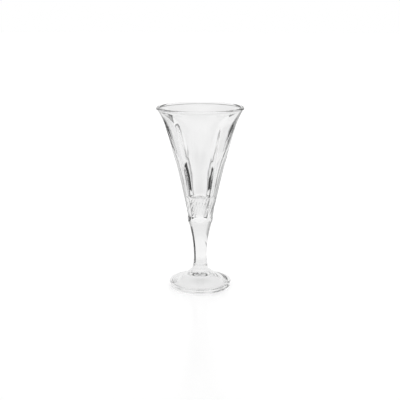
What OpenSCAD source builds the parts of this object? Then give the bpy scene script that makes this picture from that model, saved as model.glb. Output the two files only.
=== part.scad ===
// Wine goblet of clear pressed glass: a flared bowl with arched panels, a drawn stem and a domed foot.
// The three pieces stand on one axis and are fused where their flat seam faces meet.
// Millimetres, +Z up. The origin is the centre of the plane that the foot rests on.

/* [Bowl] */
// Height of the bowl, from its seam with the stem to the middle of the rim lip
bowl_height = 118.45; // [95:0.05:150]
// Outside diameter over the rim lip
rim_diameter = 89.4; // [78:0.2:110]
// How far the rim lip stands out past the wall below it
lip_overhang = 0.9; // [0.3:0.1:1.6]
// How far the rim lip stands in past the wall below it
lip_inset = 0.5; // [0.1:0.1:0.6]
// Thickness of the wall under the lip, measured level
wall_thickness = 2; // [1.6:0.1:3]
// Outside diameter of the bowl's lower end
bowl_end_diameter = 25; // [24.4:0.1:32]
// How far the bowl's outer line bows in from a straight cone
bowl_bow = 1.8; // [0:0.1:3]

/* [Cavity] */
// Height of the solid glass between the seam and the floor of the cavity
base_height = 27; // [15:0.5:40]
// Diameter of the cavity at its floor
floor_diameter = 22; // [16:0.5:24]
// Radius of the rounding between the cavity's floor and its wall
floor_rounding = 3; // [1:0.1:5]
// How far the cavity's wall bows in from a straight cone
cavity_bow = 6; // [4:0.1:7]

/* [Panels] */
// Number of flat panels round the bowl
panel_count = 5; // [5:1:8]
// Depth of a panel at its middle in the upper, wide part of the bowl
panel_depth = 2; // [0.6:0.1:2.2]
// Height of the smooth band between the arches and the middle of the lip
band_height = 1; // [0.5:0.5:15]
// Height over which a panel runs out in its arch
arch_height = 18; // [10:0.5:30]
// Height above the seam up to which neighbouring panels meet in ridges
ridge_height = 49; // [35:0.5:60]
// Height over which a panel then grows shallower
easing_height = 42; // [25:0.5:45]
// How far the ridges lie under the bowl's outer line
ridge_drop = 0.3; // [0.1:0.1:0.6]
// Height over which a panel runs out at its lower end
tail_height = 6; // [2:0.5:12]
// Height of the plain ring under the panels
ring_height = 2; // [1:0.1:5]

/* [Stem] */
// Length of the stem between its two seams
stem_length = 46; // [25:0.5:90]
// Diameter of the stem at its upper seam
stem_top_diameter = 24.2; // [18:0.1:24.2]
// Diameter of the stem at its narrowest
waist_diameter = 13.3; // [9:0.1:14.5]
// Height of the narrowest point above the lower seam
waist_height = 10; // [5:0.5:20]

/* [Foot] */
// Height of the foot, from the resting plane to its seam with the stem
foot_height = 23; // [20.5:0.5:30]
// Diameter of the collar at its seam with the stem
collar_diameter = 15; // [14.6:0.1:18]
// Level reach of the collar's flare, as half the width of its ellipse
flare_reach = 13; // [9:0.5:17]
// Drop of the collar's flare, as half the height of its ellipse
flare_drop = 11.5; // [8:0.1:12]
// Outside diameter over the foot's lip
foot_diameter = 64.2; // [56:0.2:80]
// Thickness of the foot's rounded lip
foot_lip_thickness = 4; // [3:0.1:5]
// Height of the middle of the foot's lip
foot_lip_height = 5.2; // [4.2:0.1:6.5]
// How far the band under the lip is set back
band_setback = 0.9; // [0.3:0.1:1.5]
// Chamfer at the lower edge of the foot
edge_chamfer = 0.8; // [0.3:0.1:1.5]
// Width of the flat ring that the foot rests on
resting_ring_width = 2.9; // [2:0.1:8]
// Depth of the hollow inside the resting ring
hollow_depth = 13; // [2:0.1:14]

/* [Lobes] */
// Number of small lobes at the root of the stem
lobe_count = 10; // [6:1:12]
// Diameter of the ball that one lobe is the outer part of
lobe_diameter = 6; // [5:0.1:8]
// How far a lobe stands out of the flare
lobe_rise = 1.4; // [0.5:0.1:1.8]

/* [Hidden] */
$fn = 120;
glass_tint = [0.92, 0.94, 0.94, 0.55];

// Straight pieces that stand for each slightly bowed line
line_steps = 10;
// Straight pieces that stand for each strongly curved line
curve_steps = 12;
// Straight pieces that stand for the round section of a lip
bead_steps = 24;

// Heights of the seams and of the rim lip
bowl_z = foot_height + stem_length;
lip_z = bowl_z + bowl_height;
waist_z = foot_height + waist_height;

// Radii of the bowl's outer line and of the lip
bowl_end_r = bowl_end_diameter / 2;
neck_r = rim_diameter / 2 - lip_overhang;
lip_thickness = lip_inset + wall_thickness + lip_overhang;
lip_r = (rim_diameter - lip_thickness) / 2;

// Cavity, from its floor to the lip
floor_z = bowl_z + base_height;
floor_r = floor_diameter / 2;
cavity_depth = lip_z - floor_z;
mouth_r = neck_r - wall_thickness;
floor_slope = (mouth_r - floor_r - 4 * cavity_bow) / cavity_depth;
mouth_slope = (mouth_r - floor_r + 4 * cavity_bow) / cavity_depth;
floor_lean = atan(floor_slope);
rounding_reach = floor_rounding / tan((90 + floor_lean) / 2);
rounding_rise = floor_rounding * (1 - sin(floor_lean));

// Panels: where they start to run out at either end, and how far the cut goes on past that, as a share
arch_z = lip_z - band_height - arch_height;
ridge_z = bowl_z + ridge_height;
tail_z = bowl_z + ring_height + tail_height;
run_out = 1.1;

// Foot: the flare ends where it meets the dome, and the dome ends on the lip
collar_r = collar_diameter / 2;
flare_end_angle = 72;
lip_start_angle = 65;
foot_lip_r = (foot_diameter - foot_lip_thickness) / 2;
foot_band_r = foot_diameter / 2 - band_setback;
dome_bow = 0.25;
hollow_edge_r = foot_band_r - edge_chamfer - resting_ring_width;
hollow_r = (pow(hollow_edge_r, 2) + pow(hollow_depth, 2)) / (2 * hollow_depth);
lobe_flare_angle = 45;

// Shares from 0 to 1 in equal steps
function shares(count) = [for (i = [0 : count]) i / count];

// Values from a to b in equal steps
function steps_between(a, b, count) = [for (t = shares(count)) a + (b - a) * t];

// A list without its first entry
function past_first(list) = [for (i = [1 : len(list) - 1]) list[i]];

// A line from a to b that bows in by bow at its middle, at share t of its length
function bowed(a, b, bow, t) = a + (b - a) * t - 4 * bow * t * (1 - t);

// Radius of the bowl's outer line at height z
function bowl_r(z) = bowed(bowl_end_r, neck_r, bowl_bow, (z - bowl_z) / bowl_height);

// Radius of the cavity's wall at height z
function cavity_r(z) = bowed(floor_r, mouth_r, cavity_bow, (z - floor_z) / cavity_depth);

// Depth of a panel at height z: down to the ridges below, shallower above, and nothing where it has run out
function depth_at(z) =
    let (meeting = bowl_r(z) - (bowl_r(z) - ridge_drop) * cos(180 / panel_count))
    let (easing = max(0, z - ridge_z) / easing_height)
    let (arch = max(0, z - arch_z) / arch_height)
    let (tail = max(0, tail_z - z) / tail_height)
    max(panel_depth, meeting * (1 - easing * easing)) * (1 - arch * arch) * (1 - tail * tail);

// Radius of the stem at height z: two parabolas that meet at the waist
function stem_r(z) =
    let (end_z = z > waist_z ? bowl_z : foot_height)
    let (end_r = z > waist_z ? stem_top_diameter / 2 : collar_r)
    waist_diameter / 2 + (end_r - waist_diameter / 2) * pow((z - waist_z) / (end_z - waist_z), 2);

// Point of the collar's flare, a quarter of an ellipse, at angle a from the seam
function flare_point(a) = [collar_r + flare_reach * (1 - cos(a)), foot_height - flare_drop * sin(a)];

// Direction that the flare's surface faces at angle a
function flare_normal(a) =
    let (across = [flare_drop * cos(a), flare_reach * sin(a)])
    across / norm(across);

// Points on an arc
function arc(centre, r, from, to, count) =
    [for (a = steps_between(from, to, count)) centre + r * [cos(a), sin(a)]];

// Round bead turned about the axis, as the two lips are
module bead(r, z, thickness) {
    rotate_extrude()
        polygon(past_first(arc([r, z], thickness / 2, 0, 360, bead_steps)));
}

// Solid turned shape inside the bowl's outer line
module bowl_blank() {
    line = [for (z = steps_between(bowl_z, lip_z, line_steps)) [bowl_r(z), z]];
    rotate_extrude()
        polygon(concat([[0, lip_z], [0, bowl_z]], line));
}

// What one flat panel takes off the front of the bowl: level across, and bowed with the bowl up and down
module panel_cut() {
    tail = steps_between(tail_z - run_out * tail_height, tail_z, curve_steps);
    lower = steps_between(tail_z, ridge_z, line_steps);
    upper = steps_between(ridge_z, arch_z, curve_steps);
    arch = steps_between(arch_z, arch_z + run_out * arch_height, curve_steps);
    heights = concat(tail, past_first(lower), past_first(upper), past_first(arch));
    face = [for (z = heights) [bowl_r(z) - depth_at(z), z]];
    outside = [[rim_diameter, heights[len(heights) - 1]], [rim_diameter, heights[0]]];
    rotate([90, 0, -90])
        linear_extrude(rim_diameter, center = true)
            polygon(concat(face, outside));
}

// Inside of the cup, open upwards past the lip
module cavity() {
    corner_centre = [floor_r - rounding_reach, floor_z + floor_rounding];
    corner = arc(corner_centre, floor_rounding, -90, -floor_lean, curve_steps);
    heights = past_first(steps_between(floor_z + rounding_rise, lip_z, line_steps));
    wall_line = [for (z = heights) [cavity_r(z), z]];
    mouth = [mouth_r + mouth_slope * lip_thickness, lip_z + lip_thickness];
    rotate_extrude()
        polygon(concat([[0, floor_z]], corner, wall_line, [mouth, [0, mouth[1]]]));
}

// Flared bowl with its solid base, sunk panels and rounded lip
module bowl() color(glass_tint) {
    difference() {
        bowl_blank();
        for (k = [0 : panel_count - 1])
            rotate(k * 360 / panel_count)
                panel_cut();
        cavity();
    }
    bead(lip_r, lip_z, lip_thickness);
}

// Solid stem, drawn in to its waist
module stem() color(glass_tint) {
    lower = steps_between(foot_height, waist_z, line_steps);
    upper = steps_between(waist_z, bowl_z, curve_steps);
    line = [for (z = concat(lower, past_first(upper))) [stem_r(z), z]];
    rotate_extrude()
        polygon(concat([[0, bowl_z], [0, foot_height]], line));
}

// One lobe at the root of the stem, as a ball sunk into the flare
module lobe() {
    sunk = lobe_diameter / 2 - lobe_rise;
    place = flare_point(lobe_flare_angle) - sunk * flare_normal(lobe_flare_angle);
    translate([0, -place[0], place[1]])
        sphere(d = lobe_diameter);
}

// Collar, domed disc, rounded lip and resting ring
module foot() color(glass_tint) {
    flare = [for (a = steps_between(0, flare_end_angle, curve_steps)) flare_point(a)];
    dome_start = flare[curve_steps];
    dome_end = [foot_lip_r, foot_lip_height]
        + foot_lip_thickness / 2 * [cos(lip_start_angle), sin(lip_start_angle)];
    dome = [for (t = shares(line_steps)) [
        bowed(dome_start[0], dome_end[0], 0, t),
        bowed(dome_start[1], dome_end[1], -dome_bow, t),
    ]];
    edge = [
        [foot_lip_r, foot_lip_height],
        [foot_band_r, foot_lip_height],
        [foot_band_r, edge_chamfer],
        [foot_band_r - edge_chamfer, 0],
    ];
    difference() {
        union() {
            rotate_extrude()
                polygon(concat([[0, 0], [0, foot_height]], flare, past_first(dome), edge));
            bead(foot_lip_r, foot_lip_height, foot_lip_thickness);
            for (k = [0 : lobe_count - 1])
                rotate((k + 0.5) * 360 / lobe_count)
                    lobe();
        }
        translate([0, 0, hollow_depth - hollow_r])
            sphere(r = hollow_r);
    }
}

bowl();
stem();
foot();
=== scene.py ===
"""Looks of a clear pressed-glass wine goblet: three worked-out glass surfaces on a white table."""

import math

import bpy
import numpy as np
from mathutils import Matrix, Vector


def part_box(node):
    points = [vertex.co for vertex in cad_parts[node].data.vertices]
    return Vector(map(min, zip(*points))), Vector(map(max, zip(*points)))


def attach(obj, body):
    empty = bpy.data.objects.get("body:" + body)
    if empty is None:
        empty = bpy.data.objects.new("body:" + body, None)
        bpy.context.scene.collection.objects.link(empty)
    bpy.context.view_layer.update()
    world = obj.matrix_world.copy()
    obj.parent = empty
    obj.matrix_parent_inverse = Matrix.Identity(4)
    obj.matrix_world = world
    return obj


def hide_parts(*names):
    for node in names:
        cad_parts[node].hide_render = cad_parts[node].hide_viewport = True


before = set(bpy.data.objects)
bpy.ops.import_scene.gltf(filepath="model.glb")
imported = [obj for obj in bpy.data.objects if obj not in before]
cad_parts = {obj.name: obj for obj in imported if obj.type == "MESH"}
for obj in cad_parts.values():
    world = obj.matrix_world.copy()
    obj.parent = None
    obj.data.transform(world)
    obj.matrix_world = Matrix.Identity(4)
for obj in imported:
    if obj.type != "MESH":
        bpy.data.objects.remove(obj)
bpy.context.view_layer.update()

# Units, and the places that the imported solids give, in metres
MM = 0.001
BOWL_LOW, BOWL_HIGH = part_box("bowl")
FOOT_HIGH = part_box("foot")[1]
SEAM_BOWL_Z = BOWL_LOW.z
SEAM_FOOT_Z = FOOT_HIGH.z
RIM_RADIUS = BOWL_HIGH.x
RIM_TOP_Z = BOWL_HIGH.z
FOOT_RADIUS = FOOT_HIGH.x

# Bowl: wall, lip and bowed outer line
WALL = 2.0 * MM
LIP_OVERHANG = 0.9 * MM
LIP_INSET = 0.5 * MM
LIP_THICKNESS = LIP_INSET + WALL + LIP_OVERHANG
LIP_Z = RIM_TOP_Z - LIP_THICKNESS / 2
LIP_RADIUS = RIM_RADIUS - LIP_THICKNESS / 2
LIP_START = math.radians(-15)
LIP_END = math.radians(185)
WALL_TOP_Z = LIP_Z - LIP_OVERHANG
NECK_RADIUS = RIM_RADIUS - LIP_OVERHANG
BOWL_END_RADIUS = 12.5 * MM
BOWL_BOW = 1.8 * MM

# Cavity: floor, rounded corner and bowed wall
BASE_HEIGHT = 27.0 * MM
FLOOR_Z = SEAM_BOWL_Z + BASE_HEIGHT
FLOOR_RADIUS = 11.0 * MM
FLOOR_ROUNDING = 3.0 * MM
CAVITY_BOW = 6.0 * MM
MOUTH_RADIUS = NECK_RADIUS - WALL
FLOOR_LEAN = math.atan((MOUTH_RADIUS - FLOOR_RADIUS - 4 * CAVITY_BOW) / (LIP_Z - FLOOR_Z))
ROUNDING_TOP_Z = FLOOR_Z + FLOOR_ROUNDING * (1 - math.sin(FLOOR_LEAN))

# Panels that meet in ridges: rounder ones over the whole height, and flatter ones low down
PANEL_COUNT = 5
UPPER_OFFSET = 22.0 * MM
LOWER_OFFSET = 150.0 * MM
RIDGE_HEIGHT = 49.0 * MM
RIDGE_Z = SEAM_BOWL_Z + RIDGE_HEIGHT
EASING_HEIGHT = 42.0 * MM
BAND_HEIGHT = 1.0 * MM
ARCH_HEIGHT = 18.0 * MM
ARCH_Z = LIP_Z - BAND_HEIGHT - ARCH_HEIGHT
PLAIN_RING_HEIGHT = 2.0 * MM
TAIL_HEIGHT = 6.0 * MM
TAIL_Z = SEAM_BOWL_Z + PLAIN_RING_HEIGHT + TAIL_HEIGHT
SOFT_ROUNDS = 2

# Thin slanted flutes round the solid base, up to the cavity's floor
FLUTE_DEPTH = 0.4 * MM
FLUTE_PITCH = 3.6 * MM
FLUTE_SLANT = 0.38
FLUTE_SHARPNESS = 12
FLUTE_START = 4.0 * MM
FLUTE_LOW_Z = SEAM_BOWL_Z + FLUTE_START

# Stem
STEM_TOP_RADIUS = 12.1 * MM
WAIST_RADIUS = 6.65 * MM
WAIST_HEIGHT = 10.0 * MM
WAIST_Z = SEAM_FOOT_Z + WAIST_HEIGHT

# Foot: collar, dome, lip, band, resting ring and hollow
COLLAR_RADIUS = 7.5 * MM
FLARE_REACH = 13.0 * MM
FLARE_DROP = 11.5 * MM
FLARE_END = math.radians(72)
DOME_BOW = 0.25 * MM
FOOT_LIP_THICKNESS = 4.0 * MM
FOOT_LIP_Z = 5.2 * MM
FOOT_LIP_RADIUS = FOOT_RADIUS - FOOT_LIP_THICKNESS / 2
FOOT_LIP_START = math.radians(-40)
FOOT_LIP_END = math.radians(65)
BAND_SETBACK = 0.9 * MM
BAND_RADIUS = FOOT_RADIUS - BAND_SETBACK
BAND_DROP = 1.6 * MM
EDGE_ROUND = 0.8 * MM
RING_WIDTH = 2.9 * MM
HOLLOW_RADIUS = BAND_RADIUS - EDGE_ROUND - RING_WIDTH
HOLLOW_DEPTH = 13.0 * MM

# Lobes at the root of the stem: balls sunk into the flare
LOBE_COUNT = 10
LOBE_RADIUS = 3.0 * MM
LOBE_RISE = 1.4 * MM
LOBE_PLACE = math.radians(45)

# Fineness: points round each surface, rows along each stretch of its section, and the bend that stays sharp
AROUND = 360
ANGLES = np.arange(AROUND) * 2 * math.pi / AROUND
BOWL_SEAM_ROWS = 8
FOOT_SEAM_ROWS = 6
OUTSIDE_ROWS = 170
INSIDE_ROWS = 50
LIP_ROWS = 22
CORNER_ROWS = 14
FLOOR_ROWS = 6
STEM_ROWS = 90
HOLLOW_ROWS = 24
RING_ROWS = 5
EDGE_ROWS = 7
BAND_ROWS = 6
DOME_ROWS = 26
FLARE_ROWS = 90
SHARP_BEND = math.radians(50)

# Glass: the shade of each piece, and the faint waves and dullness of its polish
GLASS_INDEX = 1.52
BOWL_SHADE = 0.992
STEM_SHADE = 0.94
FOOT_SHADE = 0.99
WAVE_SCALE = 70
WAVE_DETAIL = 1
PRESSED_WAVES = 0.12 * MM
DRAWN_WAVES = 0.06 * MM
DULLEST_POLISH = 0.02

# Times that light may be turned, and counts of turns that tell its paths apart
MOST_TURNS = 10
ONE_OR_MORE = 0.5
THREE_OR_MORE = 2.5

# Studio: its level by how far up a ray goes, and the share left by how far it goes to a side
STUDIO_UPWARDS = [(0.0, 0.88), (0.3, 0.86), (0.65, 0.75), (1.0, 0.74)]
STUDIO_SIDEWAYS = [(0.0, 1.0), (0.5, 1.0), (0.75, 0.5), (1.0, 0.25)]

# Studio: the share left from the viewer's side to the back, and the one overhead, whichever is more
STUDIO_BACKWARDS = [(0.0, 0.25), (0.35, 0.35), (0.5, 0.9), (0.55, 1.0), (1.0, 1.0)]
STUDIO_OVERHEAD = [(0.0, 0.0), (0.3, 0.0), (0.5, 1.0), (1.0, 1.0)]

# Table top
TABLE_HALF_SIDE = 6.0
TABLE_GREY = 0.8
TABLE_ROUGHNESS = 0.2
TABLE_GLOW = 0.48

# Table top in the glass, painted shade: levels by metres from the goblet's axis, a painted shadow darkest
# under the foot and painted shade far off
TABLE_PAINTED_SHADE_OUTWARDS = [
    (0.0, 0.72), (0.008, 0.76), (0.016, 0.84), (0.03, 0.85), (0.06, 0.9),
    (0.1, 1.0), (0.35, 1.0), (0.6, 0.97), (1.0, 0.9),
]
TABLE_SIDES_END = [(0.0, 0.0), (0.4, 0.0), (0.5, 1.0), (1.0, 1.0)]

# Table top in the glass, painted shade: levels by metres from a line half a metre left of the axis, or in
# front of it, darker at both sides, in dark strips and at the front
TABLE_SHIFT = 0.5
TABLE_PAINTED_SHADE_SIDEWAYS = [(0.0, 0.45), (0.22, 0.45), (0.27, 1.0), (0.75, 1.0), (0.8, 0.4), (1.0, 0.4)]
TABLE_PAINTED_DARK_STRIPS = [
    (0.0, 0.9), (0.08, 0.85), (0.1, 0.02), (0.215, 0.02), (0.235, 0.9),
    (0.77, 0.9), (0.79, 0.02), (0.88, 0.02), (0.9, 0.85), (1.0, 0.9),
]
TABLE_STRIPS_END = [(0.0, 0.9), (0.49, 0.9), (0.52, 0.0), (1.0, 0.0)]
TABLE_PAINTED_SHADE_BACKWARDS = [(0.0, 0.35), (0.3, 0.35), (0.42, 1.0), (1.0, 1.0)]

# Dark card behind the goblet on the right, standing on the table: painted shade, a dark sheet seen only
# through solid glass for the dark line in the stem
CARD_TURN = math.radians(43)
CARD_REACH = 42.0 * MM
CARD_WIDTH = 25.0 * MM
CARD_HEIGHT = 70.0 * MM
CARD_PAINTED_SHADE_GREY = 0.03

# Camera
CAMERA_LENS = 83.5
CAMERA_SENSOR = 36
CAMERA_TURN = math.radians(3)
CAMERA_TILT = math.radians(12.65)
CAMERA_SIDE = -0.2 * MM
CAMERA_REACH = 939.0 * MM
CAMERA_HEIGHT = 302.7 * MM


def bowed(a, b, bow, t):
    """A straight line from a to b that bows in by bow at its middle, as a parabola, at share t."""
    return a + (b - a) * t - 4 * bow * t * (1 - t)


def bowl_radius(z):
    """Radius over the ridges at height z: a line from the bowl's end to its neck, bowed in."""
    return bowed(BOWL_END_RADIUS, NECK_RADIUS, BOWL_BOW, (z - SEAM_BOWL_Z) / (LIP_Z - SEAM_BOWL_Z))


def cavity_radius(z):
    """Radius of the cavity's wall at height z: a line from its floor to the mouth, bowed in."""
    return bowed(FLOOR_RADIUS, MOUTH_RADIUS, CAVITY_BOW, (z - FLOOR_Z) / (LIP_Z - FLOOR_Z))


def panel_face(turn, z, offset, arch_z, arch_height):
    """Radius of one panel at angle turn from its middle: a circle about an axis behind the bowl's.

    The circle passes through the ridges on the bowl's line, by the law of cosines. Towards both ends it
    grows, with the square of the way there, until it only touches that line.
    """
    round_reach = bowl_radius(z) + offset
    half_pitch = math.pi / PANEL_COUNT
    ridge_reach = np.sqrt(round_reach ** 2 - 2 * bowl_radius(z) * offset * (1 - math.cos(half_pitch)))
    arch = np.maximum(0, z - arch_z) / arch_height
    tail = np.maximum(0, TAIL_Z - z) / TAIL_HEIGHT
    reach = round_reach - (round_reach - ridge_reach) * (1 - arch ** 2) * (1 - tail ** 2)
    return np.sqrt(reach ** 2 - (offset * np.sin(turn)) ** 2) - offset * np.cos(turn)


def flute_depth(angle, z):
    """Depth of the flutes: a high power of a cosine across, which leans with height and fades as a sine."""
    across = bowl_radius(z) * np.cos(angle) - FLUTE_SLANT * (z - FLUTE_LOW_Z)
    groove = np.cos(math.pi * across / FLUTE_PITCH) ** FLUTE_SHARPNESS
    share = np.clip((z - FLUTE_LOW_Z) / (FLOOR_Z - FLUTE_LOW_Z), 0, 1)
    return FLUTE_DEPTH * groove * np.sin(math.pi * share)


def soften(radius):
    """Rounds ridges and edges: each point becomes a mean with its neighbours, weighed 1, 2, 1, in rounds."""
    for _ in range(SOFT_ROUNDS):
        radius = (np.roll(radius, 1, axis=1) + 2 * radius + np.roll(radius, -1, axis=1)) / 4
        inner = (radius[:-2] + 2 * radius[1:-1] + radius[2:]) / 4
        radius = np.concatenate([radius[:1], inner, radius[-1:]])
    return radius


def panelled_radius(angle, z):
    """Radius of the bowl's outside: the least of its line and its panels, softened, less the flutes."""
    pitch = 2 * math.pi / PANEL_COUNT
    turn = np.mod(angle + math.pi / 2 + pitch / 2, pitch) - pitch / 2
    upper = panel_face(turn, z, UPPER_OFFSET, ARCH_Z, ARCH_HEIGHT)
    lower = panel_face(turn, z, LOWER_OFFSET, RIDGE_Z, EASING_HEIGHT)
    return soften(np.minimum(bowl_radius(z), np.minimum(upper, lower))) - flute_depth(angle, z)


def stem_radius(z):
    """Radius of the stem at height z: one parabola above the waist and one below it."""
    above = z > WAIST_Z
    end_z = np.where(above, SEAM_BOWL_Z, SEAM_FOOT_Z)
    end_radius = np.where(above, STEM_TOP_RADIUS, COLLAR_RADIUS)
    return WAIST_RADIUS + (end_radius - WAIST_RADIUS) * ((z - WAIST_Z) / (end_z - WAIST_Z)) ** 2


def lobe_radius(angle, z):
    """Radius that the lobes reach at height z, or 0 where there is none.

    They are a ring of balls sunk into the flare, each met by a level line from the axis outwards.
    """
    across = np.array([FLARE_DROP * math.cos(LOBE_PLACE), FLARE_REACH * math.sin(LOBE_PLACE)])
    sunk = (LOBE_RADIUS - LOBE_RISE) * across / np.linalg.norm(across)
    ring_radius = COLLAR_RADIUS + FLARE_REACH * (1 - math.cos(LOBE_PLACE)) - sunk[0]
    ring_z = SEAM_FOOT_Z - FLARE_DROP * math.sin(LOBE_PLACE) - sunk[1]
    pitch = 2 * math.pi / LOBE_COUNT
    turn = np.mod(angle + math.pi / 2, pitch) - pitch / 2
    chord = LOBE_RADIUS ** 2 - (z - ring_z) ** 2 - (ring_radius * np.sin(turn)) ** 2
    return np.where(chord > 0, ring_radius * np.cos(turn) + np.sqrt(np.maximum(chord, 0)), 0)


def arc(centre, radius, start, end, count):
    """Points on a circle about centre, from angle start to angle end."""
    a = np.linspace(start, end, count)
    return np.stack([centre[0] + radius * np.cos(a), centre[1] + radius * np.sin(a)], axis=1)


def line(start, end, count):
    """Points evenly along the straight line from start to end, without its first point."""
    t = np.linspace(0, 1, count + 1)[1:, None]
    return np.asarray(start) * (1 - t) + np.asarray(end) * t


def turned(section):
    """Radius and height of a section's points carried round the axis, with one column for each angle."""
    radius = np.repeat(section[:, :1], AROUND, axis=1)
    height = np.repeat(section[:, 1:], AROUND, axis=1)
    return radius, height


def turned_mesh(name, radius, height, seam_rows):
    """A closed surface turned about the axis: rows follow the section from pole to pole, columns go round.

    Point (i, j) is at radius[i, j] from the axis, at the angle of column j, at height[i, j]. The first and
    last rows are single points on the axis. Faces after the rows in seam_rows take the second material.
    """
    rows = len(radius)
    around = np.stack([radius * np.cos(ANGLES), radius * np.sin(ANGLES), height], axis=-1)
    ring = around[1:-1].reshape(-1, 3)
    poles = np.array([[0, 0, height[0, 0]], [0, 0, height[-1, 0]]])
    low_pole = len(ring)
    high_pole = low_pole + 1
    k = np.arange(AROUND)
    k_after = (k + 1) % AROUND
    low = np.arange(rows - 3)[:, None] * AROUND
    high = low + AROUND
    quads = np.stack([low + k, low + k_after, high + k_after, high + k], axis=-1).reshape(-1, 4)
    top = (rows - 3) * AROUND
    low_fan = np.stack([k_after, k, np.full(AROUND, low_pole)], axis=-1)
    high_fan = np.stack([top + k, top + k_after, np.full(AROUND, high_pole)], axis=-1)
    mesh = bpy.data.meshes.new(name)
    points = np.concatenate([ring, poles])
    mesh.from_pydata(points.tolist(), [], quads.tolist() + low_fan.tolist() + high_fan.tolist())
    row_of_quad = np.repeat(np.arange(1, rows - 2), AROUND)
    row_of_face = np.concatenate([row_of_quad, np.zeros(AROUND), np.full(AROUND, rows - 2)])
    mesh.polygons.foreach_set("material_index", np.isin(row_of_face, seam_rows).astype(np.int32))
    mesh.polygons.foreach_set("use_smooth", np.ones(len(mesh.polygons), dtype=bool))
    mesh.set_sharp_from_angle(angle=SHARP_BEND)
    mesh.validate()
    mesh.update()
    return mesh


def add_piece(mesh, node, materials):
    """Puts a finished surface in the scene in place of its solid."""
    piece = bpy.data.objects.new(mesh.name, mesh)
    bpy.context.scene.collection.objects.link(piece)
    for material in materials:
        mesh.materials.append(material)
    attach(piece, "root")
    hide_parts(node)


def bowl_section():
    """The bowl's section: from the middle of its seam, up the outside, over the lip and down the cavity."""
    seam = line((0, SEAM_BOWL_Z), (BOWL_END_RADIUS, SEAM_BOWL_Z), BOWL_SEAM_ROWS)
    outside_z = np.linspace(SEAM_BOWL_Z, WALL_TOP_Z, OUTSIDE_ROWS)[1:]
    outside = np.stack([bowl_radius(outside_z), outside_z], axis=1)
    lip = arc((LIP_RADIUS, LIP_Z), LIP_THICKNESS / 2, LIP_START, LIP_END, LIP_ROWS)
    inside_z = np.linspace(WALL_TOP_Z, ROUNDING_TOP_Z, INSIDE_ROWS)
    inside = np.stack([cavity_radius(inside_z), inside_z], axis=1)
    corner_x = FLOOR_RADIUS - FLOOR_ROUNDING / math.tan((math.pi / 2 + FLOOR_LEAN) / 2)
    corner_centre = (corner_x, FLOOR_Z + FLOOR_ROUNDING)
    corner = arc(corner_centre, FLOOR_ROUNDING, -FLOOR_LEAN, -math.pi / 2, CORNER_ROWS)[1:]
    floor = line((corner_x, FLOOR_Z), (0, FLOOR_Z), FLOOR_ROWS)
    section = np.concatenate([[(0, SEAM_BOWL_Z)], seam, outside, lip, inside, corner, floor])
    return section, len(seam), len(outside)


def make_bowl(materials):
    """The bowl: its section turned about the axis, with panels and flutes pressed into the outside."""
    section, seam_count, outside_count = bowl_section()
    radius, height = turned(section)
    outside = slice(seam_count + 1, seam_count + 1 + outside_count)
    radius[outside] = panelled_radius(ANGLES, height[outside])
    mesh = turned_mesh("goblet_bowl", radius, height, np.arange(seam_count))
    add_piece(mesh, "bowl", materials)


def make_stem(materials):
    """The stem: two parabolas turned about the axis, closed by a seam at each end."""
    low = line((0, SEAM_FOOT_Z), (COLLAR_RADIUS, SEAM_FOOT_Z), FOOT_SEAM_ROWS)
    side_z = np.linspace(SEAM_FOOT_Z, SEAM_BOWL_Z, STEM_ROWS)[1:]
    side = np.stack([stem_radius(side_z), side_z], axis=1)
    high = line((STEM_TOP_RADIUS, SEAM_BOWL_Z), (0, SEAM_BOWL_Z), BOWL_SEAM_ROWS)
    section = np.concatenate([[(0, SEAM_FOOT_Z)], low, side, high])
    radius, height = turned(section)
    rows = len(section)
    seam_rows = np.concatenate([np.arange(len(low)), np.arange(rows - 1 - len(high), rows - 1)])
    mesh = turned_mesh("goblet_stem", radius, height, seam_rows)
    add_piece(mesh, "stem", materials)


def foot_section():
    """The foot's section: from the middle of its hollow, over ring, band and lip, up the dome and collar.

    The hollow is a ball's cap, the edge and the lip are arcs, and the flare is part of an ellipse.
    """
    ball = (HOLLOW_RADIUS ** 2 + HOLLOW_DEPTH ** 2) / (2 * HOLLOW_DEPTH)
    hollow_r = np.linspace(0, HOLLOW_RADIUS, HOLLOW_ROWS)
    hollow_z = HOLLOW_DEPTH - ball + np.sqrt(ball ** 2 - hollow_r ** 2)
    hollow = np.stack([hollow_r, np.maximum(hollow_z, 0)], axis=1)
    edge_x = BAND_RADIUS - EDGE_ROUND
    ring = line((HOLLOW_RADIUS, 0), (edge_x, 0), RING_ROWS)
    edge = arc((edge_x, EDGE_ROUND), EDGE_ROUND, -math.pi / 2, 0, EDGE_ROWS)[1:]
    band = line((BAND_RADIUS, EDGE_ROUND), (BAND_RADIUS, FOOT_LIP_Z - BAND_DROP), BAND_ROWS)
    lip_centre = (FOOT_LIP_RADIUS, FOOT_LIP_Z)
    lip = arc(lip_centre, FOOT_LIP_THICKNESS / 2, FOOT_LIP_START, FOOT_LIP_END, LIP_ROWS)
    flare_a = np.linspace(FLARE_END, 0, FLARE_ROWS)
    flare_r = COLLAR_RADIUS + FLARE_REACH * (1 - np.cos(flare_a))
    flare = np.stack([flare_r, SEAM_FOOT_Z - FLARE_DROP * np.sin(flare_a)], axis=1)
    t = np.linspace(0, 1, DOME_ROWS)[1:-1]
    dome_r = lip[-1, 0] + (flare[0, 0] - lip[-1, 0]) * t
    dome = np.stack([dome_r, bowed(lip[-1, 1], flare[0, 1], -DOME_BOW, t)], axis=1)
    seam = line((COLLAR_RADIUS, SEAM_FOOT_Z), (0, SEAM_FOOT_Z), FOOT_SEAM_ROWS)
    under = np.concatenate([hollow, ring, edge, band, lip])
    return np.concatenate([under, dome, flare, seam]), len(under), len(seam)


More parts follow.
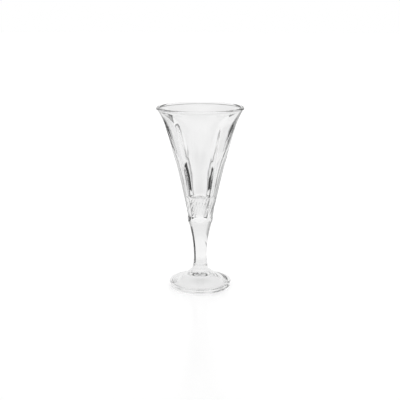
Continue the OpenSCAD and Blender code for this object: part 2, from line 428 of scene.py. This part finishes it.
def make_foot(materials):
    """The foot: its section turned about the axis, with lobes where the collar flares out."""
    section, under_count, seam_count = foot_section()
    radius, height = turned(section)
    rows = len(section)
    on_top = slice(under_count, rows - seam_count)
    radius[on_top] = np.maximum(radius[on_top], lobe_radius(ANGLES, height[on_top]))
    mesh = turned_mesh("goblet_foot", radius, height, np.arange(rows - 1 - seam_count, rows - 1))
    add_piece(mesh, "foot", materials)


def grey(level):
    """A colour without hue."""
    return (level, level, level, 1)


def new_material(name):
    """An empty node material and its node tree."""
    material = bpy.data.materials.new(name)
    material.use_nodes = True
    material.node_tree.nodes.clear()
    return material, material.node_tree


def show(tree, shader):
    """Makes a shader the surface of its material."""
    out = tree.nodes.new("ShaderNodeOutputMaterial")
    tree.links.new(shader, out.inputs["Surface"])


def choose(tree, share, first, second):
    """The first of two shaders where share is 0, and the second where it is 1."""
    mix = tree.nodes.new("ShaderNodeMixShader")
    tree.links.new(share, mix.inputs["Fac"])
    tree.links.new(first, mix.inputs[1])
    tree.links.new(second, mix.inputs[2])
    return mix.outputs["Shader"]


def work_out(tree, operation, *values):
    """Result of one sum in the shader, on outputs of other nodes and plain numbers."""
    node = tree.nodes.new("ShaderNodeMath")
    node.operation = operation
    for socket, value in zip(node.inputs, values):
        if isinstance(value, bpy.types.NodeSocket):
            tree.links.new(value, socket)
        else:
            socket.default_value = value
    return node.outputs["Value"]


def grade(tree, place, stops):
    """Grey level at a place from 0 to 1, on straight lines between the stops."""
    node = tree.nodes.new("ShaderNodeValToRGB")
    elements = node.color_ramp.elements
    while len(elements) < len(stops):
        elements.new(1.0)
    for element, (position, level) in zip(elements, stops):
        element.position = position
        element.color = grey(level)
    tree.links.new(place, node.inputs["Fac"])
    return node.outputs["Color"]


def split_place(tree, place):
    """The X, Y and Z outputs of a place or a direction."""
    node = tree.nodes.new("ShaderNodeSeparateXYZ")
    tree.links.new(place, node.inputs["Vector"])
    return node.outputs["X"], node.outputs["Y"], node.outputs["Z"]


def clear_glass(name, shade, wave_depth):
    """Clear glass with the faint waves of a fire-polished surface, a little duller on their crests."""
    material, tree = new_material(name)
    glass = tree.nodes.new("ShaderNodeBsdfPrincipled")
    glass.inputs["Base Color"].default_value = grey(shade)
    glass.inputs["Transmission Weight"].default_value = 1
    glass.inputs["IOR"].default_value = GLASS_INDEX
    place = tree.nodes.new("ShaderNodeTexCoord")
    waves = tree.nodes.new("ShaderNodeTexNoise")
    waves.inputs["Scale"].default_value = WAVE_SCALE
    waves.inputs["Detail"].default_value = WAVE_DETAIL
    bump = tree.nodes.new("ShaderNodeBump")
    bump.inputs["Strength"].default_value = 1
    bump.inputs["Distance"].default_value = wave_depth
    polish = tree.nodes.new("ShaderNodeMapRange")
    polish.inputs["To Min"].default_value = 0
    polish.inputs["To Max"].default_value = DULLEST_POLISH
    tree.links.new(place.outputs["Object"], waves.inputs["Vector"])
    tree.links.new(waves.outputs["Fac"], bump.inputs["Height"])
    tree.links.new(waves.outputs["Fac"], polish.inputs["Value"])
    tree.links.new(polish.outputs["Result"], glass.inputs["Roughness"])
    tree.links.new(bump.outputs["Normal"], glass.inputs["Normal"])
    show(tree, glass.outputs["BSDF"])
    return material


def fused_joint():
    """The place where two pieces are fused: light passes as if the glass were one."""
    material, tree = new_material("fused_joint")
    clear = tree.nodes.new("ShaderNodeBsdfTransparent")
    show(tree, clear.outputs["BSDF"])
    return material


def painted_table_shade(tree, rays):
    """Level of the table top in the glass.

    Light that comes straight through sees a painted shadow under the foot and, for some way, painted shade
    at both sides. Light thrown about in the glass sees a painted dark strip on either side of its back half.
    Both see painted shade at its front. None of it is light that falls on the table.
    """
    place = tree.nodes.new("ShaderNodeTexCoord").outputs["Object"]
    length = tree.nodes.new("ShaderNodeVectorMath")
    length.operation = "LENGTH"
    tree.links.new(place, length.inputs[0])
    reach = length.outputs["Value"]
    x, y, _ = split_place(tree, place)
    from_left = work_out(tree, "ADD", x, TABLE_SHIFT)
    from_front = work_out(tree, "ADD", y, TABLE_SHIFT)
    sideways = grade(tree, from_left, TABLE_PAINTED_SHADE_SIDEWAYS)
    sides = work_out(tree, "MAXIMUM", sideways, grade(tree, reach, TABLE_SIDES_END))
    # Painted shadow under the foot and painted shade at the sides, for light that came straight through
    straight = work_out(tree, "MULTIPLY", grade(tree, reach, TABLE_PAINTED_SHADE_OUTWARDS), sides)
    # Painted dark strips, for light thrown about in the glass
    strips = grade(tree, from_left, TABLE_PAINTED_DARK_STRIPS)
    thrown = work_out(tree, "MAXIMUM", strips, grade(tree, from_front, TABLE_STRIPS_END))
    pick = tree.nodes.new("ShaderNodeMix")
    was_thrown = work_out(tree, "GREATER_THAN", rays.outputs["Glossy Depth"], ONE_OR_MORE)
    tree.links.new(was_thrown, pick.inputs["Factor"])
    tree.links.new(straight, pick.inputs["A"])
    tree.links.new(thrown, pick.inputs["B"])
    # Painted shade towards the front
    return work_out(tree, "MULTIPLY", pick.outputs["Result"], grade(tree, from_front, TABLE_PAINTED_SHADE_BACKWARDS))


def white_table():
    """A pale, half-polished top with a glow. By way of the glass it shows a painted level instead: a glow
    with a painted shadow under the foot and painted shade.
    """
    material, tree = new_material("white_table")
    rays = tree.nodes.new("ShaderNodeLightPath")
    top = tree.nodes.new("ShaderNodeBsdfPrincipled")
    top.inputs["Base Color"].default_value = grey(TABLE_GREY)
    top.inputs["Roughness"].default_value = TABLE_ROUGHNESS
    top.inputs["Emission Color"].default_value = grey(1)
    top.inputs["Emission Strength"].default_value = TABLE_GLOW
    # By way of the glass: a glow at the painted level, with painted shadow and painted shade, in place of
    # the lit top
    painted_table = tree.nodes.new("ShaderNodeEmission")
    tree.links.new(painted_table_shade(tree, rays), painted_table.inputs["Color"])
    turns = work_out(tree, "MAXIMUM", rays.outputs["Transmission Depth"], rays.outputs["Glossy Depth"])
    by_glass = work_out(tree, "GREATER_THAN", turns, ONE_OR_MORE)
    show(tree, choose(tree, by_glass, top.outputs["BSDF"], painted_table.outputs["Emission"]))
    return material


def painted_shade_card():
    """Painted shade: dull black to light that crossed up to two surfaces, as of the stem, and clear to other
    light.
    """
    material, tree = new_material("painted_shade_card")
    rays = tree.nodes.new("ShaderNodeLightPath")
    dark = tree.nodes.new("ShaderNodeBsdfDiffuse")
    dark.inputs["Color"].default_value = grey(CARD_PAINTED_SHADE_GREY)
    clear = tree.nodes.new("ShaderNodeBsdfTransparent")
    by_walls = work_out(tree, "GREATER_THAN", rays.outputs["Transmission Depth"], THREE_OR_MORE)
    show(tree, choose(tree, by_walls, dark.outputs["BSDF"], clear.outputs["BSDF"]))
    return material


def add_sheet(name, corners, material):
    """A flat sheet of the studio, with its corners in order."""
    mesh = bpy.data.meshes.new(name)
    mesh.from_pydata(corners, [], [(0, 1, 2, 3)])
    mesh.materials.append(material)
    sheet = bpy.data.objects.new(name, mesh)
    bpy.context.scene.collection.objects.link(sheet)
    return sheet


def make_table():
    """A wide white table top."""
    side = TABLE_HALF_SIDE
    corners = [(-side, -side, 0), (side, -side, 0), (side, side, 0), (-side, side, 0)]
    add_sheet("table_top", corners, white_table())


def make_card():
    """A card close behind the goblet, seen only through solid glass: painted shade for the dark line in the
    stem, which lights and shades nothing else.
    """
    middle = np.array([math.sin(CARD_TURN), math.cos(CARD_TURN)]) * CARD_REACH
    along = np.array([math.cos(CARD_TURN), -math.sin(CARD_TURN)]) * CARD_WIDTH / 2
    left = middle - along
    right = middle + along
    corners = [(*left, 0), (*right, 0), (*right, CARD_HEIGHT), (*left, CARD_HEIGHT)]
    card = add_sheet("painted_shade_card", corners, painted_shade_card())
    card.visible_camera = False
    card.visible_diffuse = False
    card.visible_glossy = False
    card.visible_shadow = False


def make_studio():
    """A white room, which the camera sees as plain white.

    To the glass and the table it is darker high up, at both sides, and low down on the viewer's side.
    """
    world = bpy.data.worlds.new("studio")
    bpy.context.scene.world = world
    world.use_nodes = True
    tree = world.node_tree
    tree.nodes.clear()
    x, y, z = split_place(tree, tree.nodes.new("ShaderNodeTexCoord").outputs["Generated"])
    aside = work_out(tree, "ABSOLUTE", x)
    back = work_out(tree, "MULTIPLY_ADD", y, 0.5, 0.5)
    level = work_out(tree, "MULTIPLY", grade(tree, z, STUDIO_UPWARDS), grade(tree, aside, STUDIO_SIDEWAYS))
    share = work_out(tree, "MAXIMUM", grade(tree, back, STUDIO_BACKWARDS), grade(tree, z, STUDIO_OVERHEAD))
    room = tree.nodes.new("ShaderNodeBackground")
    tree.links.new(work_out(tree, "MULTIPLY", level, share), room.inputs["Color"])
    white = tree.nodes.new("ShaderNodeBackground")
    white.inputs["Color"].default_value = grey(1)
    rays = tree.nodes.new("ShaderNodeLightPath")
    out = tree.nodes.new("ShaderNodeOutputWorld")
    to_camera = rays.outputs["Is Camera Ray"]
    seen = choose(tree, to_camera, room.outputs["Background"], white.outputs["Background"])
    tree.links.new(seen, out.inputs["Surface"])


def limit_turns():
    """Ends light that is trapped in a wall, as the glass itself swallows it."""
    cycles = bpy.context.scene.cycles
    cycles.max_bounces = MOST_TURNS
    cycles.transmission_bounces = MOST_TURNS
    cycles.glossy_bounces = MOST_TURNS


def make_camera():
    """A long lens at the photograph's height and tilt."""
    camera = bpy.data.cameras.new("camera")
    camera.lens = CAMERA_LENS
    camera.sensor_width = CAMERA_SENSOR
    body = bpy.data.objects.new("camera", camera)
    body.location = (
        CAMERA_SIDE * math.cos(CAMERA_TURN) + CAMERA_REACH * math.sin(CAMERA_TURN),
        CAMERA_SIDE * math.sin(CAMERA_TURN) - CAMERA_REACH * math.cos(CAMERA_TURN),
        CAMERA_HEIGHT,
    )
    body.rotation_euler = (math.pi / 2 - CAMERA_TILT, 0, CAMERA_TURN)
    bpy.context.scene.collection.objects.link(body)
    bpy.context.scene.camera = body


def main():
    """Builds the goblet and its studio."""
    joint = fused_joint()
    make_bowl([clear_glass("bowl_glass", BOWL_SHADE, PRESSED_WAVES), joint])
    make_stem([clear_glass("stem_glass", STEM_SHADE, DRAWN_WAVES), joint])
    make_foot([clear_glass("foot_glass", FOOT_SHADE, PRESSED_WAVES), joint])
    make_table()
    make_card()
    make_studio()
    limit_turns()
    make_camera()
    bpy.context.scene.view_settings.view_transform = "Standard"


main()
